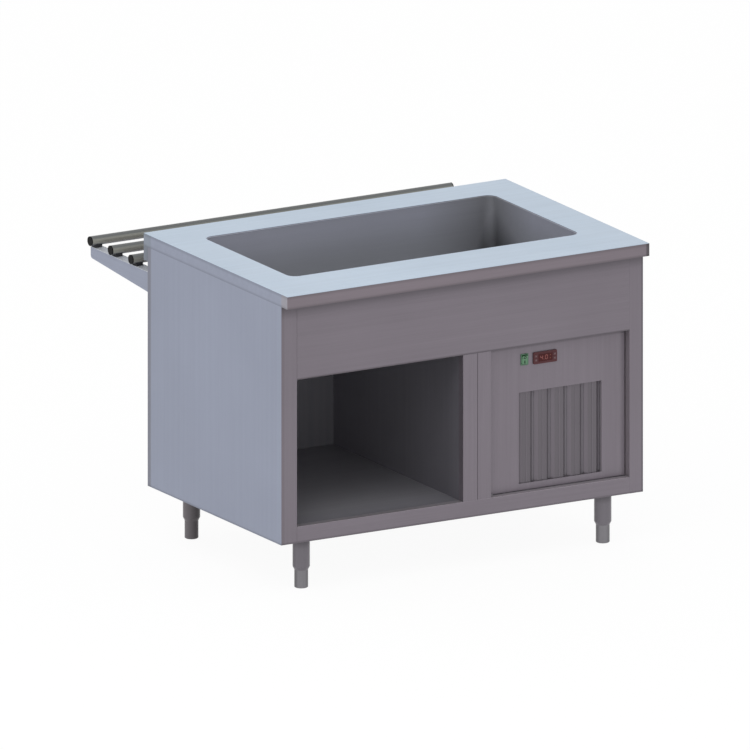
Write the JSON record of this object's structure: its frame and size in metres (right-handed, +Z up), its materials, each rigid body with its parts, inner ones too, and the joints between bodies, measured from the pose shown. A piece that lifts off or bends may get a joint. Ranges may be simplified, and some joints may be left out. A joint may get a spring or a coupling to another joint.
{
  "type": "refrigerated bain-marie counter",
  "caption": "Free-standing stainless cold-well bain-marie counter with an open cupboard, a louvred service door over the condensing unit, adjustable legs and a tubular tray slide.",
  "frame": {"origin": "on the floor, under the centre of the whole footprint, feet screwed in", "axes": "+X to the operator's right along the counter, +Y towards the customers' side with the tray slide, +Z up"},
  "size_m": [1.2, 1.15, 0.9],
  "materials": {
    "stainless_top": "satin stainless worktop",
    "stainless_well": "smooth drawn stainless",
    "stainless_side": "brushed stainless sheet",
    "stainless_front": "brushed stainless sheet",
    "stainless_inside": "plain stainless lining",
    "stainless_tube": "polished round stainless tube",
    "stainless_leg": "satin stainless leg",
    "zinc_steel": "zinc-coated steel",
    "foam": "cream rigid foam, matte",
    "copper": "bare copper tube",
    "brass_plated": "nickel-plated brass",
    "lever_coat": "red coated lever",
    "black_enamel": "black enamel, half gloss",
    "fin_aluminium": "bare aluminium fins",
    "rubber_black": "black rubber",
    "plastic_black": "black moulded plastic",
    "controller_red": "dark smoky red plastic",
    "display_window": "tinted display window",
    "key_plastic": "soft grey keys",
    "switch_frame": "dark moulded frame",
    "switch_green": "green translucent rocker",
    "cap_black": "black end cap"
  },
  "bodies": {
    "counter": {"worktop": "stainless_top", "well_tank": "stainless_well", "tank_insulation": "foam", "evaporator_coil": "copper", "drain_strainer": "stainless_leg", "drain_pipe": "zinc_steel", "drain_valve": "brass_plated", "left_side_panel": "stainless_side", "right_side_panel": "stainless_side", "back_panel": "stainless_front", "front_header": "stainless_front", "bottom_rail": "stainless_front", "centre_stile": "stainless_front", "machine_stile": "stainless_front", "cupboard_floor": "stainless_inside", "machine_floor": "stainless_inside", "cupboard_back": "stainless_inside", "divider_panel": "stainless_inside", "ceiling_panel": "stainless_inside", "base_channels": "zinc_steel", "leg_tube_front_left": "stainless_leg", "leg_tube_front_right": "stainless_leg", "leg_tube_back_left": "stainless_leg", "leg_tube_back_right": "stainless_leg", "door_hinge_pins": "zinc_steel", "door_catch": "plastic_black", "unit_tray": "zinc_steel", "compressor": "black_enamel", "compressor_cover": "plastic_black", "compressor_mounts": "rubber_black", "condenser_core": "fin_aluminium", "fan_shroud": "zinc_steel", "fan_motor": "black_enamel", "filter_drier": "copper", "refrigerant_lines": "copper", "cable_gland": "plastic_black", "tray_tube_1": "stainless_tube", "tray_tube_2": "stainless_tube", "tray_tube_3": "stainless_tube", "tube_end_caps": "cap_black", "tray_bracket_left": "stainless_side", "tray_bracket_right": "stainless_side", "tube_saddles": "cap_black", "bracket_bolts": "zinc_steel"},
    "service_door": {"service_door": "stainless_front", "louvre_grille": "stainless_front", "switch_housing": "switch_frame", "controller_housing": "controller_red", "controller_window": "display_window"},
    "switch_rocker": {"switch_rocker": "switch_green"},
    "fan": {"fan_blades": "plastic_black"},
    "drain_lever": {"drain_valve_lever": "lever_coat"},
    "key_up": {"controller_key_up": "key_plastic"},
    "key_down": {"controller_key_down": "key_plastic"},
    "key_defrost": {"controller_key_defrost": "key_plastic"},
    "key_set": {"controller_key_set": "key_plastic"},
    "foot_front_left": {"leg_foot_front_left": "stainless_leg"},
    "foot_front_right": {"leg_foot_front_right": "stainless_leg"},
    "foot_back_left": {"leg_foot_back_left": "stainless_leg"},
    "foot_back_right": {"leg_foot_back_right": "stainless_leg"}
  },
  "joints": [
    {"name": "door_hinge", "type": "hinge", "parent": "counter", "child": "service_door", "pos_m": [0.107, -0.503, 0.2015], "axis": [0, 0, -1], "range_deg": [0, 90]},
    {"name": "switch_tilt", "type": "hinge", "parent": "service_door", "child": "switch_rocker", "pos_m": [0.2205, -0.509, 0.591], "axis": [-1, 0, 0], "range_deg": [0, 14]},
    {"name": "fan_spin", "type": "hinge", "parent": "counter", "child": "fan", "pos_m": [0.345, -0.328, 0.3365], "axis": [0, 1, 0], "continuous": true},
    {"name": "drain_lever_turn", "type": "hinge", "parent": "counter", "child": "drain_lever", "pos_m": [0.15, -0.169, 0.3085], "axis": [0, -1, 0], "range_deg": [0, 90]},
    {"name": "key_up_press", "type": "slide", "parent": "service_door", "child": "key_up", "axis": [0, 1, 0], "range_m": [0, 0.0006], "stiffness_N_per_m": 1500},
    {"name": "key_down_press", "type": "slide", "parent": "service_door", "child": "key_down", "axis": [0, 1, 0], "range_m": [0, 0.0006], "stiffness_N_per_m": 1500},
    {"name": "key_defrost_press", "type": "slide", "parent": "service_door", "child": "key_defrost", "axis": [0, 1, 0], "range_m": [0, 0.0006], "stiffness_N_per_m": 1500},
    {"name": "key_set_press", "type": "slide", "parent": "service_door", "child": "key_set", "axis": [0, 1, 0], "range_m": [0, 0.0006], "stiffness_N_per_m": 1500},
    {"name": "foot_front_left_screw", "type": "slide", "parent": "counter", "child": "foot_front_left", "axis": [0, 0, -1], "range_m": [0, 0.025]},
    {"name": "foot_front_right_screw", "type": "slide", "parent": "counter", "child": "foot_front_right", "axis": [0, 0, -1], "range_m": [0, 0.025]},
    {"name": "foot_back_left_screw", "type": "slide", "parent": "counter", "child": "foot_back_left", "axis": [0, 0, -1], "range_m": [0, 0.025]},
    {"name": "foot_back_right_screw", "type": "slide", "parent": "counter", "child": "foot_back_right", "axis": [0, 0, -1], "range_m": [0, 0.025]}
  ]
}
